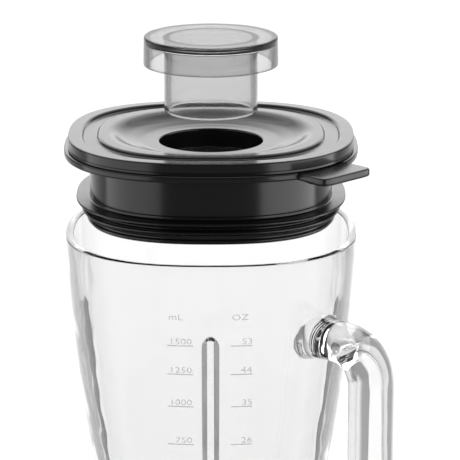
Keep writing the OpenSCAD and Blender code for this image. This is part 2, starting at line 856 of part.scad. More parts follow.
module pulse_spring() {
  color([0.7, 0.7, 0.72]) on_front() translate([0, button_y, 0]) coil(4.4, 0.4, -face_t - 12.4, 9, 4);
}

module pulse_switch() {
  z = -face_t - 12.6;
  color([0.88, 0.88, 0.85]) on_front() translate([0, button_y, 0]) difference() {
    translate([-9, -9, z - 8]) cube([18, 18, 8]);
    translate([0, 0, z - 3]) cylinder(r = 2.6, h = 5);
  }
}

// Jar sensing pin and its switch

module interlock_pin() {
  color([0.9, 0.9, 0.88]) translate([0, pin_at, 0]) {
    rod(2.5, base_h - 15, 15);
    rod(4, base_h - crown_t - pin_stroke - 2.3, 1.6);
  }
}

module interlock_spring() {
  color([0.7, 0.7, 0.72]) translate([0, pin_at, 0])
    coil(3.3, 0.35, base_h - 15.4, 15.4 - crown_t - pin_stroke - 2.4, 3);
}

module interlock_switch() {
  color([0.2, 0.2, 0.22]) translate([0, pin_at, 0]) {
    box(20, 13, base_h - 29, 13.5);
    for (x = [-7, 7]) translate([x, 0, 0]) box(2, 5, base_h - 35, 7);
  }
}

module circuit_board() {
  z = cover_top + 5;
  color([0.1, 0.35, 0.2]) translate([0, board_y, 0]) union() {
    box(74, 28, z, 1.6);
    translate([-22, 0, 0]) box(16, 12, z + 1, 13);
    translate([4, 2, 0]) rod(6, z + 1, 12);
    translate([24, -2, 0]) box(14, 9, z + 1, 9);
  }
}

module cord_inlet() {
  color([0.12, 0.12, 0.12]) translate([0, wall_at(inlet_z), inlet_z]) rotate([-90, 0, 0]) difference() {
    union() {
      translate([0, 0, -14]) cylinder(r = 7, h = 14);
      translate([0, 0, -1]) cylinder(r = 9.5, h = 2.4);
      translate([0, 0, inlet_back - 3]) cylinder(r = 9, h = 3);
    }
    translate([0, 0, -20]) cylinder(r = 3.7, h = 30);
  }
}

filler_cap();
lid_cover();
lid_ring();
lid_seal();
glass_jar();
jar_collar();
jar_gasket();
blade_holder();
blade_bushes();
shaft_seal();
blade_shaft();
thrust_washer();
lower_blade();
blade_spacer();
upper_blade();
blade_nut();
jar_coupling();
drive_coupling();
motor_shaft();
armature_core();
armature_winding();
commutator();
cooling_fan();
stator_core();
field_coils();
upper_bracket();
lower_bracket();
motor_bearings();
brush_holders();
carbon_brushes();
brush_springs();
motor_grommets();
motor_screws();
base_housing();
trim_band();
bottom_cover();
rubber_feet();
cover_screws();
seat_pad();
splash_seal();
control_panel();
speed_knob();
knob_spindle();
rotary_switch();
pulse_button();
pulse_spring();
pulse_switch();
interlock_pin();
interlock_spring();
interlock_switch();
circuit_board();
cord_inlet();
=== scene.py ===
"""Looks of the countertop blender: base, jar, lid and measuring cap, in the frame of the CAD part.
Shapes are worked out in millimetres and put into their meshes in metres."""
import json
import math
import bmesh
import bpy
import numpy as np
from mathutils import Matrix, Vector

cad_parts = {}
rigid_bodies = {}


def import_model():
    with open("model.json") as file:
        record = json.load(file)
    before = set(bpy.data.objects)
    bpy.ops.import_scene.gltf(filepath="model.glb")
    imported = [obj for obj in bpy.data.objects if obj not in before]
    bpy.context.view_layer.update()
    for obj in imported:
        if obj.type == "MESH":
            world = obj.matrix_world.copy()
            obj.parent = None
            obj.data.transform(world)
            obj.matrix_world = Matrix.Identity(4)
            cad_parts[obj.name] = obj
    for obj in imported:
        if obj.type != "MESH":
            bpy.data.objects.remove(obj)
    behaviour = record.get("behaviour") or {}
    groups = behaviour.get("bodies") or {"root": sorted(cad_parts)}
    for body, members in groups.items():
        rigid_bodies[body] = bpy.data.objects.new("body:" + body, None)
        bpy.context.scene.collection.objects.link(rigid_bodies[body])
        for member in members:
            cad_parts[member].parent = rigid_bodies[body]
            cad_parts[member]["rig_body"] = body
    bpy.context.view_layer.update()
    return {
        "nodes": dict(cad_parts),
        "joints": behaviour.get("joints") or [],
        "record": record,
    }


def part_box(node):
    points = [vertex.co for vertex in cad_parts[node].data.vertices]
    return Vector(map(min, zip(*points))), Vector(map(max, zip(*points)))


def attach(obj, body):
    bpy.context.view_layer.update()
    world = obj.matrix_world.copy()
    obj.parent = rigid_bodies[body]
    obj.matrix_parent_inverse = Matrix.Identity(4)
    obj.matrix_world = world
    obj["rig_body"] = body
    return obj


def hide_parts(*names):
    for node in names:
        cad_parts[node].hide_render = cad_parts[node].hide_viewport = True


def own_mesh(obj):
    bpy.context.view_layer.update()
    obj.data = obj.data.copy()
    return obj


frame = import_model()
nodes, record = frame["nodes"], frame["record"]
body_of = {n: o["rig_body"] for n, o in nodes.items()}
slot_of = {s["node"]: s["material_slot"] for s in record["subparts"]}


def span(node):
    """Lowest and highest corner of a CAD node in millimetres."""
    low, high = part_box(node)
    return np.array(low) * 1000, np.array(high) * 1000


# Levels and widths that every shape hangs from, in mm
glass_low, glass_high = span("glass_jar")
glass_z, rim_z = glass_low[2], glass_high[2]
rim_half = glass_high[1]
cover_high = span("lid_cover")[1]
lid_z, plate_half = cover_high[2], cover_high[1]
ring_low, ring_high = span("lid_ring")
seal_z, flange_half = ring_low[2], ring_high[1]
cap_low, cap_high = span("filler_cap")
cap_z, skirt_r = cap_high[2], cap_high[0]
SQUARE = 2.5          # superellipse power of the jar and the lid
WALL = 4.0            # thickness of the glass
SIDE = 176.0          # how far below the rim the jar's tapering side ends
CORNER = math.sqrt(0.5)   # the handle and the tab point along (CORNER, -CORNER)
SCALE = (("1500", "53", 41.1), ("1250", "44", 56.2), ("1000", "35", 73.5), ("750", "26", 94.1),
         ("500", "17", 118.0), ("250", "9", 146.0))   # mL, OZ, and how far below the rim each step is


# Colours and materials

def colour(code, alpha=1.0):
    """sRGB hex to linear: below 0.04045 divided by 12.92, otherwise ((c + 0.055) / 1.055) to the power 2.4."""
    c = np.array([int(code[i:i + 2], 16) for i in (0, 2, 4)]) / 255
    c = np.where(c <= 0.04045, c / 12.92, ((c + 0.055) / 1.055) ** 2.4)
    return (*c, alpha)


def add(tree, kind, sockets=None, **settings):
    """Adds one node. Settings are its properties. A socket takes a value, an output, or a node's first output."""
    made = tree.nodes.new(kind)
    for name, value in settings.items():
        setattr(made, name, value)
    for name, value in (sockets or {}).items():
        if isinstance(value, bpy.types.Node):
            value = value.outputs[0]
        if isinstance(value, bpy.types.NodeSocket):
            tree.links.new(value, made.inputs[name])
        else:
            made.inputs[name].default_value = value
    return made


def new_material(name):
    """An empty material and its node tree."""
    material = bpy.data.materials.new(name)
    material.use_nodes = True
    material.node_tree.nodes.clear()
    return material, material.node_tree


def close(tree, shader, **more):
    """Joins a shader to the output. A volume goes in by name."""
    add(tree, "ShaderNodeOutputMaterial", {"Surface": shader, **more})


def moulded(name, code, rough, grain_mm, depth_mm, ior=1.46, marks=0.05, coat=0.0):
    """Injection moulded plastic or rubber: an even colour that varies a little over a hand's width, the mould's spark
    grain as fine bumps, and faint handling marks that change the gloss."""
    material, t = new_material(name)
    at = add(t, "ShaderNodeTexCoord").outputs["Object"]
    broad = add(t, "ShaderNodeTexNoise", {"Vector": at, "Scale": 28.0, "Detail": 3.0})
    grain = add(t, "ShaderNodeTexNoise", {"Vector": at, "Scale": 1000 / grain_mm, "Detail": 2.0, "Roughness": 0.6})
    wear = add(t, "ShaderNodeTexNoise", {"Vector": at, "Scale": 110.0, "Detail": 6.0, "Roughness": 0.7})
    base = np.array(colour(code))
    tint = add(t, "ShaderNodeMix", {"Factor": broad}, data_type="RGBA")
    for s, v in ((6, (*base[:3] * 0.9, 1)), (7, (*base[:3] * 1.1, 1))):
        tint.inputs[s].default_value = v
    gloss = add(t, "ShaderNodeMapRange", {"Value": wear, "From Min": 0.3, "From Max": 0.7,
                                          "To Min": max(rough - marks, 0.02), "To Max": rough + marks})
    bump = add(t, "ShaderNodeBump", {"Height": grain, "Strength": 0.6, "Distance": depth_mm / 1000})
    close(t, add(t, "ShaderNodeBsdfPrincipled", {
        "Base Color": tint.outputs[2], "Roughness": gloss, "IOR": ior, "Normal": bump,
        "Coat Weight": coat, "Coat Roughness": 0.04}))
    return material


def worked_metal(name, code, rough, line_mm, depth_mm, stretch=(1, 1, 1), marks=0.08):
    """Metal as its tool left it: fine lines drawn out along one direction, and a broad change of gloss."""
    material, t = new_material(name)
    at = add(t, "ShaderNodeTexCoord").outputs["Object"]
    drawn = add(t, "ShaderNodeMapping", {"Vector": at, "Scale": stretch})
    lines = add(t, "ShaderNodeTexNoise", {"Vector": drawn, "Scale": 1000 / line_mm, "Detail": 3.0, "Roughness": 0.65})
    broad = add(t, "ShaderNodeTexNoise", {"Vector": at, "Scale": 60.0, "Detail": 4.0})
    base = np.array(colour(code))
    tint = add(t, "ShaderNodeMix", {"Factor": lines}, data_type="RGBA")
    for s, v in ((6, (*base[:3] * 0.88, 1)), (7, (*np.minimum(base[:3] * 1.1, 1), 1))):
        tint.inputs[s].default_value = v
    gloss = add(t, "ShaderNodeMapRange", {"Value": broad, "From Min": 0.3, "From Max": 0.7,
                                          "To Min": max(rough - marks, 0.03), "To Max": rough + marks})
    bump = add(t, "ShaderNodeBump", {"Height": lines, "Strength": 0.5, "Distance": depth_mm / 1000})
    close(t, add(t, "ShaderNodeBsdfPrincipled", {
        "Base Color": tint.outputs[2], "Metallic": 1.0, "Roughness": gloss, "Normal": bump}))
    return material


def pressed_glass(name):
    """Pressed soda-lime glass, fire polished: clear, with the slow ripple that the mould leaves every 20 mm or so."""
    material, t = new_material(name)
    at = add(t, "ShaderNodeTexCoord").outputs["Object"]
    ripple = add(t, "ShaderNodeTexNoise", {"Vector": at, "Scale": 45.0, "Detail": 1.0, "Roughness": 0.4})
    bump = add(t, "ShaderNodeBump", {"Height": ripple, "Strength": 0.5, "Distance": 0.0006})
    film = add(t, "ShaderNodeTexNoise", {"Vector": at, "Scale": 300.0, "Detail": 4.0})
    gloss = add(t, "ShaderNodeMapRange", {"Value": film, "From Min": 0.4, "From Max": 0.9,
                                          "To Min": 0.0, "To Max": 0.03})
    glass = add(t, "ShaderNodeBsdfPrincipled", {
        "Base Color": colour("F5F5F5"), "Roughness": gloss, "IOR": 1.5, "Transmission Weight": 1.0, "Normal": bump})
    close(t, glass)
    return material


def smoked_clear(name):
    """Smoke-grey clear copolyester, polished mould: the tint is in the body, so an edge-on view of the top is dark
    while the thin walls stay pale; faint flow lines run round it."""
    material, t = new_material(name)
    at = add(t, "ShaderNodeTexCoord").outputs["Object"]
    flow = add(t, "ShaderNodeTexNoise", {"Vector": at, "Scale": 55.0, "Detail": 2.0})
    bump = add(t, "ShaderNodeBump", {"Height": flow, "Strength": 0.3, "Distance": 0.0003})
    scuff = add(t, "ShaderNodeTexNoise", {"Vector": at, "Scale": 400.0, "Detail": 5.0})
    gloss = add(t, "ShaderNodeMapRange", {"Value": scuff, "From Min": 0.4, "From Max": 0.8,
                                          "To Min": 0.02, "To Max": 0.09})
    clear = add(t, "ShaderNodeBsdfPrincipled", {
        "Base Color": colour("F4F4F4"), "Roughness": gloss, "IOR": 1.5, "Transmission Weight": 1.0, "Normal": bump})
    tint = add(t, "ShaderNodeVolumeAbsorption", {"Color": colour("4A4A4A"), "Density": 90.0})
    close(t, clear, Volume=tint)
    return material


def bands(apart_mm):
    """Scale of a wave texture whose bands are so far apart: it repeats every 2 pi / 20 of its own unit."""
    return 2 * math.pi / 20 * 1000 / apart_mm


def laminated(name):
    """Stamped electrical steel laminations: dark lines across the stack. The real 0.5 mm is too fine to show, so
    they are drawn 2 mm apart."""
    material, t = new_material(name)
    at = add(t, "ShaderNodeTexCoord").outputs["Object"]
    stack = add(t, "ShaderNodeTexWave", {"Vector": at, "Scale": bands(2.0), "Distortion": 0.2},
                wave_type="BANDS", bands_direction="Z")
    blot = add(t, "ShaderNodeTexNoise", {"Vector": at, "Scale": 90.0, "Detail": 5.0})
    tint = add(t, "ShaderNodeMix", {"Factor": stack}, data_type="RGBA")
    for s, v in ((6, colour("3A3C3F")), (7, colour("7B7E82"))):
        tint.inputs[s].default_value = v
    bump = add(t, "ShaderNodeBump", {"Height": stack, "Strength": 0.6, "Distance": 0.0002})
    gloss = add(t, "ShaderNodeMapRange", {"Value": blot, "To Min": 0.35, "To Max": 0.65})
    close(t, add(t, "ShaderNodeBsdfPrincipled", {
        "Base Color": tint.outputs[2], "Metallic": 0.85, "Roughness": gloss, "Normal": bump}))
    return material


def wound_wire(name):
    """Enamelled copper wire: rounded turns side by side under clear varnish, with the gaps between them darkened by
    painted shade. The real 0.5 mm wire is too fine to show, so its turns are drawn 1.6 mm apart."""
    material, t = new_material(name)
    at = add(t, "ShaderNodeTexCoord").outputs["Object"]
    turns = add(t, "ShaderNodeTexWave", {"Vector": at, "Scale": bands(1.6), "Distortion": 0.6, "Detail": 1.0},
                wave_type="BANDS", bands_direction="Z")
    # the dark end of this mix is painted shade in the gaps between the turns
    tint = add(t, "ShaderNodeMix", {"Factor": turns}, data_type="RGBA")
    for s, v in ((6, colour("4A1E0B")), (7, colour("C46A35"))):
        tint.inputs[s].default_value = v
    bump = add(t, "ShaderNodeBump", {"Height": turns, "Strength": 0.8, "Distance": 0.0004})
    close(t, add(t, "ShaderNodeBsdfPrincipled", {
        "Base Color": tint.outputs[2], "Metallic": 0.8, "Roughness": 0.32, "Normal": bump, "Coat Weight": 0.6}))
    return material


FINISH = {
    # polypropylene, satin mould: black, its gloss soft enough to blur what it mirrors
    "lid_plastic": moulded("black_polypropylene_satin", "080809", 0.2, 0.5, 0.001, ior=1.24, marks=0.015),
    # silicone, compression moulded: black, dull, with a fine dry grain
    "seal_rubber": moulded("black_silicone_moulded", "080809", 0.24, 0.6, 0.003, ior=1.26, marks=0.02),
    # ABS, spark-eroded mould: black with an even fine grain
    "collar_plastic": moulded("black_abs_fine_grain", "1C1C1E", 0.42, 0.7, 0.02),
    # silicone, moulded without pigment: milky, softly glossy where it is pressed flat
    "clear_silicone": moulded("milky_silicone_moulded", "D8D8D2", 0.35, 0.8, 0.01, ior=1.41),
    # glass-filled nylon: black with a streaky, slightly dry skin
    "holder_plastic": moulded("black_glass_filled_nylon", "222224", 0.5, 0.9, 0.03, marks=0.1),
    # sintered bronze: pressed powder, warm brown with open grains of 0.3 mm
    "bronze": worked_metal("sintered_bronze", "A0753C", 0.45, 0.3, 0.05),
    # stainless steel, ground: bright with fine lines 0.25 mm apart across the blade
    "stainless": worked_metal("stainless_ground", "C9CACC", 0.22, 0.25, 0.01, stretch=(0.08, 1, 1)),
    # nylon, moulded without pigment: warm off-white, waxy
    "white_nylon": moulded("natural_nylon_moulded", "DAD9D0", 0.45, 0.8, 0.015, ior=1.53),
    # thermoplastic elastomer: dull black, with a dry grain of 0.8 mm
    "drive_rubber": moulded("black_tpe_moulded", "1F1F20", 0.62, 0.8, 0.03),
    # acetal: black with a slippery, even sheen
    "drive_plastic": moulded("black_acetal_moulded", "212224", 0.38, 0.8, 0.012, ior=1.48),
    "silicon_steel": laminated("electrical_steel_laminations"),
    "copper_wire": wound_wire("enamelled_copper_winding"),
    # turned copper: bright orange-pink with tool rings 0.2 mm apart along the shaft
    "copper_bar": worked_metal("turned_copper", "C98058", 0.3, 0.2, 0.01, stretch=(0.1, 0.1, 1)),
    # die-cast zinc, tumbled: pale grey, softly pitted
    "zinc": worked_metal("tumbled_zinc_casting", "A9ABAD", 0.42, 1.6, 0.05),
    # phenolic, compression moulded: dark brown, faintly mottled
    "phenolic": moulded("brown_phenolic_moulding", "4B2A17", 0.4, 1.0, 0.02, ior=1.6),
    # carbon, pressed and baked: grey black, powdery
    "carbon": moulded("pressed_carbon", "26262A", 0.55, 0.3, 0.03, marks=0.1),
    # ABS, polished mould: deep black gloss with faint wipe marks
    "housing_plastic": moulded("black_abs_polished", "151516", 0.16, 2.5, 0.004, ior=1.5, marks=0.04),
    # chrome on ABS: a mirror with a barely wavy skin
    "chrome_trim": worked_metal("chrome_plated_abs", "D5D7DA", 0.07, 9.0, 0.006, marks=0.02),
    # polypropylene, coarse spark grain: dull dark grey that hides scuffs
    "cover_plastic": moulded("black_polypropylene_grained", "232323", 0.6, 1.1, 0.06),
    # rubber, compression moulded: matt black with no highlight
    "foot_rubber": moulded("black_rubber_moulded", "1A1A1A", 0.72, 0.9, 0.04),
    # brushed anodised aluminium: lines drawn straight across the front, 0.3 mm apart
    "panel_metal": worked_metal("brushed_anodised_aluminium", "A2A4A7", 0.36, 0.3, 0.006, stretch=(0.03, 1, 1),
                                marks=0.02),
    # ABS, fine spark grain: black with a soft highlight on its edges
    "knob_plastic": moulded("black_abs_knob", "1B1B1D", 0.32, 0.7, 0.012),
    # thermoset, moulded: hard off-white with a faint mottle
    "switch_plastic": moulded("white_thermoset", "E2E1D8", 0.45, 1.0, 0.015, ior=1.55),
    # solder mask over glass epoxy: glossy green, grained by the glass cloth 0.6 mm apart under it
    "board": moulded("green_solder_mask", "12502C", 0.3, 0.6, 0.02, ior=1.5, coat=0.4),
    "smoke_plastic": smoked_clear("smoke_clear_copolyester"),
    "jar_glass": pressed_glass("pressed_soda_lime_glass"),
}
for node, thing in nodes.items():
    thing.data.materials.clear()
    thing.data.materials.append(FINISH[slot_of[node]])


# Shapes

def ring(half, power, z, turns):
    """Superellipse: at each angle the radius is half / (|cos| to the power + |sin| to the power) to the 1/power.
    half, power and z are columns, one for each ring; the result is rings x angles x 3."""
    half, power, z = (np.asarray(v, float).reshape(-1, 1) for v in np.broadcast_arrays(half, power, z))
    c, s = np.cos(turns)[None], np.sin(turns)[None]
    r = half / (np.abs(c) ** power + np.abs(s) ** power) ** (1 / power)
    return np.stack([r * c, r * s, z + 0 * r], -1)


def skin(rows, loop=False, caps=False):
    """Quads over a grid of points whose columns go all round. Rows close on themselves (loop) or end in a fan about
    their middle (caps)."""
    m, n = rows.shape[:2]
    i, j = np.meshgrid(np.arange(m if loop else m - 1), np.arange(n), indexing="ij")
    a, b = i * n + j, i * n + (j + 1) % n
    c, d = ((i + 1) % m) * n + (j + 1) % n, ((i + 1) % m) * n + j
    faces = [np.stack([a, b, c, d], -1).reshape(-1, 4)]
    points = [rows.reshape(-1, 3)]
    if caps:
        j = np.arange(n)
        k = (j + 1) % n
        points += [rows[:1].mean(1), rows[-1:].mean(1)]
        faces += [np.stack([k, j, 0 * j + m * n], -1),
                  np.stack([(m - 1) * n + j, (m - 1) * n + k, 0 * j + m * n + 1], -1)]
    return np.concatenate(points), faces


def outward(points, faces):
    """Turns every face over when the enclosed volume, the sum of the corner triple products, comes out negative."""
    volume = sum(np.einsum("ij,ij->i", points[f[:, 0]], np.cross(points[f[:, k]], points[f[:, k + 1]])).sum()
                 for f in faces for k in range(1, f.shape[1] - 1))
    return faces if volume > 0 else [f[:, ::-1] for f in faces]


def build(name, shells, finish, body, stands_for=(), sharp=38):
    """One mesh object from closed shells in mm, shaded smooth apart from edges sharper than `sharp` degrees."""
    points, loops, sizes, start = [], [], [], 0
    for p, f in shells:
        for block in outward(p, f):
            loops.append(block.reshape(-1) + start)
            sizes.append(np.full(len(block), block.shape[1]))
        points.append(p)
        start += len(p)
    mesh = bpy.data.meshes.new(name)
    p, l, s = np.concatenate(points) / 1000, np.concatenate(loops), np.concatenate(sizes)
    mesh.vertices.add(len(p))
    mesh.vertices.foreach_set("co", p.astype(np.float32).ravel())
    mesh.loops.add(len(l))
    mesh.loops.foreach_set("vertex_index", l.astype(np.int32))
    mesh.polygons.add(len(s))
    mesh.polygons.foreach_set("loop_start", (np.cumsum(s) - s).astype(np.int32))
    mesh.update(calc_edges=True)
    mesh.validate()
    return settle(name, mesh, finish, body, stands_for, sharp)


def settle(name, mesh, finish, body, stands_for=(), sharp=38):
    """Puts a finished mesh on its body, with its material and the CAD nodes that it stands for."""
    mesh.polygons.foreach_set("use_smooth", np.ones(len(mesh.polygons), bool))
    mesh.set_sharp_from_angle(angle=math.radians(sharp))
    mesh.materials.clear()
    mesh.materials.append(FINISH[finish] if isinstance(finish, str) else finish)
    piece = bpy.data.objects.new(name, mesh)
    bpy.context.scene.collection.objects.link(piece)
    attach(piece, body)
    if stands_for:
        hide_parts(*stands_for)
    return piece


def eased(corners, steps=5):
    """Closed outline whose corners (across, up, power, round) are rounded: a quadratic curve from `round` before a
    corner to `round` past it, and one more point 0.2 mm along each flat, which keeps the flat's shading flat."""
    c = np.array(corners, float)
    p, size = c[:, :3], c[:, 3:]
    back, on = np.roll(p, 1, 0) - p, np.roll(p, -1, 0) - p
    lb = np.linalg.norm(back[:, :2], axis=1, keepdims=True)
    lo = np.linalg.norm(on[:, :2], axis=1, keepdims=True)
    a = p + back * np.minimum(size / np.maximum(lb, 1e-6), 0.5)
    b = p + on * np.minimum(size / np.maximum(lo, 1e-6), 0.5)
    t = np.linspace(0, 1, steps)[:, None, None]
    path = (1 - t) ** 2 * a + 2 * t * (1 - t) * p + t ** 2 * b
    before = p + back * np.minimum((size + 0.2) / np.maximum(lb, 1e-6), 0.5)
    after = p + on * np.minimum((size + 0.2) / np.maximum(lo, 1e-6), 0.5)
    path = np.concatenate([before[None], path, after[None]])
    return path.transpose(1, 0, 2).reshape(-1, 3)


def swept(corners, turns=240, steps=5):
    """Closed shell: an eased outline carried all round the axis on superellipses."""
    path = eased(corners, steps)
    angle = np.linspace(0, 2 * np.pi, turns, endpoint=False)
    return skin(ring(path[:, 0], path[:, 2], path[:, 1], angle), loop=True)


# Measuring cap: a turned outline, its disc closed at the axis

def measuring_cap():
    """The outline runs from the disc's underside at the axis, round plug and skirt, to its top, and turns all round."""
    low, plug_low, skirt_low = cap_z - 3.6, cap_low[2], cap_z - 14.5
    plug, wall, skirt_wall = 23.6, 2.1, 2.6
    corners = [
        (0.4, low, 2, 0), (plug - wall, low, 2, 0.8), (plug - wall, plug_low, 2, 0.8), (plug, plug_low, 2, 0.8),
        (plug, low, 2, 0.6), (skirt_r - skirt_wall, low, 2, 0.8), (skirt_r - skirt_wall - 0.3, skirt_low, 2, 0.7),
        (skirt_r, skirt_low, 2, 0.7), (skirt_r - 0.35, cap_z, 2, 1.1), (0.4, cap_z, 2, 0)]
    path = eased(corners)[6:-6]
    angle = np.linspace(0, 2 * np.pi, 192, endpoint=False)
    return skin(ring(path[:, 0], path[:, 2], path[:, 1], angle), caps=True)


build("measuring_cap", [measuring_cap()], "smoke_plastic", "cap", ["filler_cap"])

# Lid: the plate with its channel and dish, the flanged skirt with its lifting tab, and the lipped seal

n = SQUARE            # short, because every outline below names it
ledge = lid_z - 4.8   # where the cap's skirt sits
plate = lid_z - 4.7   # underside of the plate
hole, ledge_r, dish_r = 26.1, 35.3, 50.0
channel_out, channel_in, channel = plate_half - 7.4, plate_half - 14.9, lid_z - 1.6
build("lid_plate", [swept([
    (plate_half, plate, n, 0.3), (plate_half, lid_z, n, 0.9),
    (channel_out + 0.5, lid_z, n, 0.9), (channel_out - 0.5, channel, n, 0.7),
    (channel_in + 0.5, channel, n, 0.7), (channel_in - 0.5, lid_z, n, 0.9),
    (dish_r, lid_z, 2, 2.4), (dish_r - 5.2, lid_z - 3.1, 2, 2.6), (ledge_r, ledge, 2, 1.6),
    (hole, ledge, 2, 0.9), (hole, ledge - 10, 2, 0.5), (hole + 2.4, ledge - 10, 2, 0.5),
    (hole + 2.4, ledge - 3, 2, 0.5), (ledge_r, ledge - 3, 2, 1), (dish_r + 2, plate, 2, 1)])],
    "lid_plastic", "lid", ["lid_cover"], sharp=50)

flange_z, flange_top = seal_z + 20.1, seal_z + 23.4   # 0.1 mm above the rim when the lid is seated
neck_half, inner = rim_half - 12.5, rim_half - 15.5
groove = plate_half - 0.6   # the shadow line between the plate and the skirt


def lifting_tab():
    """Rounded bar on the lid's corner: rings of a rounded rectangle (a superellipse of power 8), eased at its faces."""
    corner = flange_half * 2 ** (0.5 - 1 / n)
    start, reach = corner - 6, corner + 15.5
    low, high = flange_top - 4, flange_top
    s = np.linspace(0, np.pi / 2, 5)
    turn = np.concatenate([0.9 - 0.9 * np.sin(s), [0.0], 0.9 - 0.9 * np.cos(s)])
    rise = np.concatenate([low + 0.9 - 0.9 * np.cos(s), [(low + high) / 2], high - 0.9 + 0.9 * np.sin(s)])
    inset = np.concatenate([[6, 1.5], turn, [1.5, 6]])
    z = np.concatenate([[low, low], rise, [high, high]])
    angle = np.linspace(0, 2 * np.pi, 128, endpoint=False)
    c, q = np.cos(angle)[None], np.sin(angle)[None]
    a, b = ((reach - start) / 2 - inset)[:, None], (17 - inset)[:, None]
    x = (reach + start) / 2 + a * np.sign(c) * np.abs(c) ** 0.25
    y = b * np.sign(q) * np.abs(q) ** 0.25
    # above the glass its underside is level with the flange's, so that it clears the rim when the lid is seated
    z = np.where(x < corner + 1, np.maximum(z[:, None], flange_z), z[:, None])
    h = CORNER
    return skin(np.stack([h * (x + y), h * (y - x), z], -1), caps=True)


build("lid_skirt", [swept([
    (flange_half, flange_z, n, 0.8), (flange_half, flange_top, n, 1.0), (groove + 0.3, flange_top, n, 0.15),
    (groove, plate - 0.02, n, 0.2), (inner, plate - 0.02, n, 0.4), (inner, seal_z, n, 0.3),
    (neck_half, seal_z, n, 0.4), (neck_half, flange_z, n, 0.8)]), lifting_tab()],
    "lid_plastic", "lid", ["lid_ring"])


def glass_half(t):
    """Half width of the jar t below the rim: it narrows slowly, then with the square of the depth, to 50.2 mm."""
    return rim_half - 0.045 * t - (rim_half - 0.045 * SIDE - 50.2) * (t / SIDE) ** 2


def glass_power(t):
    """How square the jar is t below the rim: square for the upper half, fading to round at the neck."""
    return 2 + (SQUARE - 2) * np.minimum(1, 2.2 * (1 - t / SIDE))


def lip(i):
    """Corners of one sealing lip, from its root's underside round its tip, which thins towards the glass."""
    top = seal_z - 1.5 - i * 4.85
    tip = glass_half(21.5 + i * 4.85) - WALL - 0.3 - 2.3 * i
    return [(neck_half + 0.6, top - 2.4, n, 0.5), (tip - 1.5, top - 1.8, n, 0.8), (tip, top - 1.1, n, 0.5),
            (tip - 0.4, top - 0.1, n, 0.5), (neck_half, top, n, 0.8)]


build("lid_seal_lips", [swept(
    [(inner, seal_z - 13, n, 0.4), (neck_half + 0.2, seal_z - 13, n, 0.4)] + lip(2) + lip(1) + lip(0)
    + [(neck_half - 0.1, seal_z - 0.02, n, 0.2), (inner, seal_z - 0.02, n, 0.2)])],
    "seal_rubber", "lid", ["lid_seal"], sharp=60)


# Jar: one skin up the outside, over the rim and down the inside, with the ribs raised from it, joined to the handle

def jar_wall():
    """Rows follow the wall's outline; columns crowd towards the four flat sides (angle less a sine of four times it).
    A rib lifts the inner face by its height times a straight slope up each flank and one up each end. The front and
    both sides have one, and the back has none."""
    u = np.linspace(0, 2 * np.pi, 320, endpoint=False)
    angle = u - 0.62 * np.sin(4 * u) / 4
    deep = np.linspace(SIDE, 1, 46)
    ribbed = np.concatenate([np.linspace(1.3, 33, 10), np.linspace(34, 60, 27), np.linspace(62, SIDE, 40)])
    arc = np.linspace(0, np.pi / 2, 7)[1:]
    out_r, in_r = 0.6, 0.7   # how round the rim's two edges are
    rim_out = [(glass_half(1) - out_r * (1 - np.cos(a)), rim_z - out_r + out_r * np.sin(a)) for a in arc]
    rim_in = [(glass_half(1) - WALL + in_r * (1 - np.sin(a)), rim_z - in_r + in_r * np.cos(a)) for a in arc]
    neck_out = [(45, glass_z, 2), (45, glass_z + 9, 2), (45, glass_z + 17, 2), (45.6, glass_z + 19, 2),
                (47.4, glass_z + 21, 2)]
    neck_in = [(46.4 - WALL + 1.4, glass_z + 21.6, 2), (41, glass_z + 20.6, 2), (40, glass_z + 19, 2),
               (40, glass_z + 10, 2), (40, glass_z, 2)]
    path = np.array(
        neck_out + [(glass_half(t), rim_z - t, glass_power(t)) for t in deep] + [(a, z, SQUARE) for a, z in rim_out]
        + [(a, z, SQUARE) for a, z in rim_in] + [(glass_half(t) - WALL, rim_z - t, glass_power(t)) for t in ribbed]
        + neck_in)
    rows = ring(path[:, 0], path[:, 2], path[:, 1], angle)
    t = rim_z - path[:, 1:2]
    inner_side = np.arange(len(path))[:, None] >= len(neck_out) + len(deep) + 2 * len(arc)
    across = np.minimum(np.abs(rows[..., 0]), np.abs(rows[..., 1]))
    rib_half, rib_high, rib_top, rib_end = 4.7, 2.15, 36, 172
    wide = rib_half * np.clip((t - rib_top + 0.5) / 5, 0.02, 1) ** 0.5
    flank = np.clip((wide - across) / (0.7 * wide), 0, 1)
    along = np.clip((t - rib_top) / 4, 0, 1) * np.clip((rib_end - t) / 30, 0, 1)
    behind = rows[..., 1] > 25
    lift = np.where(inner_side & ~behind, rib_high * flank * along, 0)
    away = rows[..., :2] / np.linalg.norm(rows[..., :2], axis=-1, keepdims=True)
    rows[..., :2] -= away * lift[..., None]
    return skin(rows, loop=True)


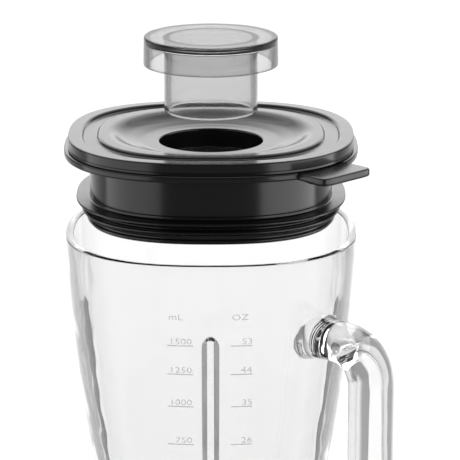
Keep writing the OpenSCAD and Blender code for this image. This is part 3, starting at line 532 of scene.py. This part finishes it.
def jar_handle():
    """A closed oval bar carried along a straight run, a quarter turn, the grip, a quarter turn and a straight run.
    Near the glass the oval swells by an exponential of its distance from it."""
    h, thick, broad = CORNER, 9.5, 12.3
    depth, bend, reach = 41, 18.0, 93.0
    top, low = rim_z - depth, glass_z + 36

    def root(t):
        """Where the bar starts: 3.2 mm inside the corner of the jar, t below the rim."""
        return glass_half(t) * 2 ** (0.5 - 1 / glass_power(t)) - 3.2

    a = np.linspace(0, np.pi / 2, 14)
    r0, r1 = root(depth), root(rim_z - low)
    s = np.linspace(0, 1, 16)[:-1]
    reach_at = np.concatenate([r0 + (reach - r0) * s, reach + bend * np.sin(a), reach + bend * np.cos(a),
                               r1 + (reach - r1) * s[::-1]])
    up_at = np.concatenate([top + 0 * s, top - bend + bend * np.cos(a), low + bend - bend * np.sin(a), low + 0 * s])
    turn = np.concatenate([0 * s, a, np.pi / 2 + a, np.pi + 0 * s])
    gap = np.concatenate([(reach - r0) * s, 99 + 0 * a, 99 + 0 * a, (reach - r1) * s[::-1]])
    swell = 1 + 0.16 * np.exp(-((gap - 3) / 5))
    angle = np.linspace(0, 2 * np.pi, 56, endpoint=False)[None]
    d = thick * swell[:, None] * np.sign(np.cos(angle)) * np.abs(np.cos(angle)) ** 0.9
    w = broad * swell[:, None] * np.sign(np.sin(angle)) * np.abs(np.sin(angle)) ** 0.9
    r = reach_at[:, None] + d * np.sin(turn)[:, None]
    z = up_at[:, None] + d * np.cos(turn)[:, None]
    return skin(np.stack([h * (r + w), h * (w - r), z], -1), caps=True)


jar = build("pressed_glass_jar", [jar_wall()], "jar_glass", "jar", ["glass_jar"], sharp=60)
grip = build("grip_tool", [jar_handle()], "jar_glass", "jar", sharp=60)
join = jar.modifiers.new("join", "BOOLEAN")
join.operation, join.object, join.solver = "UNION", grip, "EXACT"
bpy.context.view_layer.update()
joined = bpy.data.meshes.new_from_object(jar.evaluated_get(bpy.context.evaluated_depsgraph_get()))
jar.modifiers.clear()
jar.data = joined
jar.data.polygons.foreach_set("use_smooth", np.ones(len(joined.polygons), bool))
jar.data.set_sharp_from_angle(angle=math.radians(60))
bpy.data.objects.remove(grip)


# Capacity scale: raised lines and generic numbers on the front wall

marks_material, t = new_material("raised_scale_glass")
at = add(t, "ShaderNodeTexCoord").outputs["Object"]
frost = add(t, "ShaderNodeTexNoise", {"Vector": at, "Scale": 1400.0, "Detail": 2.0})
bump = add(t, "ShaderNodeBump", {"Height": frost, "Strength": 0.4, "Distance": 0.00005})
# raised glass, sharp from the mould: it bends the light away, so it reads as a pale grey
close(t, add(t, "ShaderNodeBsdfPrincipled", {"Base Color": colour("E6E7E7"), "Roughness": 0.15, "IOR": 1.5,
                                            "Transmission Weight": 0.65, "Normal": bump}))


def text_shape(words, height, stretch=1.0):
    """Flat outline of some characters, made solid: x across, y up, z its 0.24 mm thickness, in mm."""
    curve = bpy.data.curves.new("characters", "FONT")
    curve.body, curve.size, curve.extrude, curve.offset = words, 1.0, 0.1, -0.012
    curve.resolution_u = 3
    thing = bpy.data.objects.new("characters", curve)
    bpy.context.scene.collection.objects.link(thing)
    bpy.context.view_layer.update()
    mesh = bpy.data.meshes.new_from_object(thing.evaluated_get(bpy.context.evaluated_depsgraph_get()))
    bpy.data.objects.remove(thing)
    work = bmesh.new()
    work.from_mesh(mesh)
    bmesh.ops.remove_doubles(work, verts=work.verts, dist=1e-5)
    work.to_mesh(mesh)
    work.free()
    co = np.empty(len(mesh.vertices) * 3, np.float32)
    mesh.vertices.foreach_get("co", co)
    co = co.reshape(-1, 3).astype(float)
    tall = co[:, 1].max() - co[:, 1].min()
    co[:, :2] -= co[:, :2].min(0)
    co[:, :2] *= height / tall
    co[:, 0] *= stretch
    co[:, 2] = np.where(co[:, 2] > 0, 0.24, 0.0)
    return mesh, co


def on_glass(co, x, z):
    """Lays a flat shape on the jar's front: across and up stay, and its thickness stands out from the superellipse
    y = -half times (1 - (|x| / half) to the power) to the 1/power, 0.03 mm clear of it."""
    px, pz = co[:, 0] + x, co[:, 1] + z
    t = rim_z - pz
    half, power = glass_half(t), glass_power(t)
    y = -half * (1 - np.minimum(np.abs(px) / half, 0.99) ** power) ** (1 / power)
    return np.stack([px, y - 0.03 - co[:, 2], pz], -1)


def bar(length):
    """A raised line: a 0.5 mm high strip in ten steps, 0.24 mm thick, as corner points of a closed box row."""
    s = np.linspace(0, length, 11)[:, None]
    y, z = np.array([[0, 0.5, 0.5, 0]]), np.array([[0, 0, 0.24, 0.24]])
    return skin(np.stack([s + 0 * y, 0 * s + y, 0 * s + z], -1), caps=True)


shells = []
for _, _, deep in SCALE:
    for length, x in ((12.8, -21.2), (10.4, 10.0)):
        p, f = bar(length)
        shells.append((on_glass(p, x, rim_z - deep), f))
scale_lines = build("scale_lines", shells, marks_material, "jar", sharp=30)

def printed(name, placed, finish, body):
    """Joins placed characters, pairs of a mesh and its points in mm, into one piece."""
    words = bmesh.new()
    for mesh, co in placed:
        mesh.vertices.foreach_set("co", (co / 1000).astype(np.float32).ravel())
        words.from_mesh(mesh)
        bpy.data.meshes.remove(mesh)
    bmesh.ops.recalc_face_normals(words, faces=words.faces)
    mesh = bpy.data.meshes.new(name)
    words.to_mesh(mesh)
    words.free()
    return settle(name, mesh, finish, body, sharp=30)


rows = [(*step, -9.2, 20.4) for step in SCALE] + [("mL", "OZ", 28.5, -13.4, 18.6)]
placed = []
for left, right, deep, left_edge, right_edge in rows:
    for text, edge in ((left, left_edge), (right, right_edge)):
        mesh, co = text_shape(text, 3.0, 1.28)
        placed.append((mesh, on_glass(co, edge - co[:, 0].max(), rim_z - deep + 1.1)))
printed("scale_digits", placed, marks_material, "jar")


# Base and working parts: a copy of each CAD node with its corners merged and its edges eased by a small bevel

def ease_node(node, edge_mm, sharp=32):
    """A copy of a CAD node, its flats made whole and its corners rounded, that stands for the node."""
    mesh = nodes[node].data.copy()
    work = bmesh.new()
    work.from_mesh(mesh)
    bmesh.ops.remove_doubles(work, verts=work.verts, dist=2e-6)
    bmesh.ops.dissolve_limit(work, angle_limit=math.radians(0.6), verts=work.verts, edges=work.edges)
    work.to_mesh(mesh)
    work.free()
    piece = settle(node + "_finished", mesh, slot_of[node], body_of[node], [node], sharp)
    bevel = piece.modifiers.new("edge", "BEVEL")
    bevel.width, bevel.segments, bevel.limit_method, bevel.angle_limit = edge_mm / 1000, 2, "ANGLE", math.radians(35)
    bevel.use_clamp_overlap = True
    # normals weighed by face area keep the broad faces flat in the light
    flat = piece.modifiers.new("flat", "WEIGHTED_NORMAL")
    flat.keep_sharp = True
    bpy.context.view_layer.update()
    made = bpy.data.meshes.new_from_object(piece.evaluated_get(bpy.context.evaluated_depsgraph_get()))
    piece.modifiers.clear()
    piece.data = made


for node, edge in (("base_housing", 0.5), ("jar_collar", 0.6), ("trim_band", 0.4), ("control_panel", 0.25),
                   ("pulse_button", 0.5), ("rubber_feet", 0.6), ("cord_inlet", 0.4), ("blade_nut", 0.3),
                   ("drive_coupling", 0.3), ("speed_knob", 0.5)):
    ease_node(node, edge)


# Dial: ticks and generic numbers printed round the speed knob, from the pointer's place at rest round to its stop

knob = next(j for j in frame["joints"] if j["name"] == "knob_turn")
ink = moulded("pad_printed_black_ink", "0D0D0F", 0.4, 0.4, 0.003)


def on_panel(across, up, out):
    """Places points measured from the knob's axis, across and up the sloping panel and out of it, in the frame."""
    n = np.array(knob["axis"])
    right, rise = np.array([1.0, 0, 0]), np.array([0, n[2], -n[1]])
    return np.array(knob["pos_m"]) * 1000 + across[:, None] * right + up[:, None] * rise + out[:, None] * n


tick_r, number_r, number_high = 20.6, 27.8, 3.6
shells, placed = [], []
for place, turn in enumerate((0, -22.5, -45, -67.5, -90)):
    c, q = math.cos(math.radians(90 + turn)), math.sin(math.radians(90 + turn))
    p, f = bar(3.0)
    far, side = tick_r + p[:, 0], 1.6 * (p[:, 1] - 0.25)
    shells.append((on_panel(far * c - side * q, far * q + side * c, p[:, 2] * 0.5 + 0.03), f))
    mesh, co = text_shape(str(place), number_high, 1.1)
    placed.append((mesh, on_panel(number_r * c + co[:, 0] - co[:, 0].max() / 2,
                                  number_r * q + co[:, 1] - number_high / 2, co[:, 2] * 0.5 + 0.03)))
build("dial_ticks", shells, ink, "base", sharp=30)
printed("dial_numbers", placed, ink, "base")


def coil_spring():
    """Wire of 0.4 mm radius round a helix: four turns of 4.4 mm radius, rising evenly behind the pulse button."""
    a = np.linspace(0, 8 * np.pi, 161)[:, None]
    b = np.linspace(0, 2 * np.pi, 12, endpoint=False)[None]
    r, z = 4.4 + 0.4 * np.cos(b), -15.47 + 8.09 * a / (8 * np.pi) + 0.4 * np.sin(b)
    p = on_panel((r * np.cos(a)).ravel(), (r * np.sin(a)).ravel() - 42.0, z.ravel())
    return skin(p.reshape(161, 12, 3), caps=True)


# on the real button the coil's rear end stands still while the 2.5 mm stroke takes its 8.9 mm down to 6.4; here it is
# built at rest, 8.9 mm long, on the base
spring = build("pulse_coil", [coil_spring()], slot_of["pulse_spring"], "base", ["pulse_spring"], sharp=80)
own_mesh(spring)


# Room: a pale floor that sweeps up behind, soft lights and the camera

def sweep():
    """Pale floor: flat, then a quarter circle of 1.5 m radius, then a wall, as one sheet."""
    a = np.linspace(0, np.pi / 2, 24)
    half, bend, high = 6.0, 1.5, 4.0
    y = np.concatenate([[-half, half - bend], half - bend + bend * np.sin(a)[1:], [half]])
    z = np.concatenate([[0.0, 0.0], bend - bend * np.cos(a)[1:], [high]])
    x = np.array([-half, half])
    p = np.stack([np.tile(x, len(y)), np.repeat(y, 2), np.repeat(z, 2)], -1)
    i = np.arange(len(y) - 1) * 2
    mesh = bpy.data.meshes.new("floor")
    mesh.from_pydata(p.tolist(), [], np.stack([i, i + 1, i + 3, i + 2], -1).tolist())
    mesh.polygons.foreach_set("use_smooth", np.ones(len(mesh.polygons), bool))
    return mesh


floor = bpy.data.objects.new("floor", sweep())
bpy.context.scene.collection.objects.link(floor)
paper, t = new_material("pale_backdrop_paper")
at = add(t, "ShaderNodeTexCoord").outputs["Object"]
fibre = add(t, "ShaderNodeTexNoise", {"Vector": at, "Scale": 700.0, "Detail": 3.0})
bump = add(t, "ShaderNodeBump", {"Height": fibre, "Strength": 0.1, "Distance": 0.0002})
close(t, add(t, "ShaderNodeBsdfPrincipled", {"Base Color": colour("F2F2F2"), "Roughness": 0.9, "Normal": bump,
                                            "Specular IOR Level": 0.1}))
floor.data.materials.append(paper)


def soft_light(name, place, aim, wide, tall, power, flagged=(), state="EXCLUDE"):
    """A rectangular softbox turned to its aim. Flags keep its light off the things in flagged, or off all others."""
    lamp = bpy.data.lights.new(name, "AREA")
    lamp.shape, lamp.size, lamp.size_y, lamp.energy = "RECTANGLE", wide, tall, power
    thing = bpy.data.objects.new(name, lamp)
    thing.location = place
    thing.rotation_euler = (Vector(aim) - Vector(place)).to_track_quat("-Z", "Y").to_euler()
    thing.visible_camera = False
    bpy.context.scene.collection.objects.link(thing)
    if flagged:
        flags = bpy.data.collections.new(name + "_flags")
        for held in flagged:
            flags.objects.link(held)
        for held in flags.collection_objects:
            held.light_linking.link_state = state
        thing.light_linking.receiver_collection = flags


clear_things = [bpy.data.objects[n] for n in ("pressed_glass_jar", "measuring_cap", "scale_lines", "scale_digits")]
cap_only = clear_things[1:2]
lid_height = (0, 0, 0.45)
soft_light("backdrop_wash", (0, 1.8, 3.2), (0, 1.8, 0), 5.0, 4.2, 150)
soft_light("rear_card", (0, 4.3, 1.85), lid_height, 5.0, 2.2, 74, [floor] + cap_only)
soft_light("cap_card", (0, 4.3, 1.85), lid_height, 5.0, 2.2, 17, cap_only, "INCLUDE")
soft_light("left_softbox", (-1.06, -0.39, 0.51), lid_height, 1.9, 1.0, 26, [floor] + clear_things)
soft_light("right_softbox", (1.06, -0.39, 0.51), lid_height, 1.9, 1.0, 44, [floor] + clear_things)
soft_light("top_softbox", (0, -0.25, 1.9), (0, 0, 0.4), 0.8, 0.6, 6, [floor])

# Grey cards either side of the jar, seen only through clear parts, where their dim glow is painted shade that draws the
# edges and flutes. Their ends fade out, so that no hard edge of them shows through the glass.
CARD_X, CARD_HIGH, CARD_START, CARD_END = 0.3, 0.6, 0.1, 1.3   # metres
glass_edge_shade_card, t = new_material("glass_edge_shade_card")
depth = add(t, "ShaderNodeSeparateXYZ", {"Vector": add(t, "ShaderNodeTexCoord").outputs["Object"]}).outputs["Y"]
near = add(t, "ShaderNodeMapRange", {"Value": depth, "From Min": CARD_START, "From Max": 0.3},
           interpolation_type="SMOOTHSTEP")
far = add(t, "ShaderNodeMapRange", {"Value": depth, "From Min": 0.8, "From Max": CARD_END,
                                    "To Min": 1.0, "To Max": 0.0}, interpolation_type="SMOOTHSTEP")
dense = add(t, "ShaderNodeMath", {0: near, 1: far}, operation="MULTIPLY")
# this dim glow, seen nowhere but through the glass, is painted shade in the jar's edges and flutes
grey = add(t, "ShaderNodeEmission", {"Color": colour("FFFFFF"), "Strength": 0.38})
close(t, add(t, "ShaderNodeMixShader", {0: dense, 1: add(t, "ShaderNodeBsdfTransparent"), 2: grey}))
for side in (-1, 1):
    mesh = bpy.data.meshes.new("side_card")
    corners = ((CARD_START, 0.0), (CARD_END, 0.0), (CARD_END, CARD_HIGH), (CARD_START, CARD_HIGH))
    mesh.from_pydata([(side * CARD_X, y, z) for y, z in corners], [], [(0, 1, 2, 3)])
    card = bpy.data.objects.new("side_card", mesh)
    bpy.context.scene.collection.objects.link(card)
    card.data.materials.append(glass_edge_shade_card)
    card.visible_camera = card.visible_diffuse = card.visible_glossy = card.visible_shadow = False

world = bpy.data.worlds.new("studio")
world.use_nodes = True
bpy.context.scene.world = world
t = world.node_tree
t.nodes.clear()
heading = add(t, "ShaderNodeSeparateXYZ", {"Vector": add(t, "ShaderNodeTexCoord").outputs["Generated"]})
# the room is dim on the working side and pale behind the set
room = add(t, "ShaderNodeMapRange", {"Value": heading.outputs["Y"], "From Min": -0.3, "From Max": 0.7,
                                     "To Min": 0.25, "To Max": 0.8}, interpolation_type="SMOOTHSTEP")
air = add(t, "ShaderNodeBackground", {"Color": colour("FFFFFF"), "Strength": room})
add(t, "ShaderNodeOutputWorld", {"Surface": air})

camera = bpy.data.cameras.new("camera")
camera.lens, camera.sensor_width, camera.clip_end = 218.2, 36.0, 50.0
view = bpy.data.objects.new("camera", camera)
view.location = (0.0096, -1.3725, rim_z / 1000 + 0.3674)
looks_down = 15.03    # degrees
view.rotation_euler = (math.radians(90 - looks_down), 0, 0)
bpy.context.scene.collection.objects.link(view)
bpy.context.scene.camera = view
bpy.context.scene.view_settings.view_transform = "Standard"
# thick glass turns light over inside itself many times
light_paths = bpy.context.scene.cycles
light_paths.max_bounces, light_paths.transmission_bounces, light_paths.glossy_bounces = 24, 24, 16
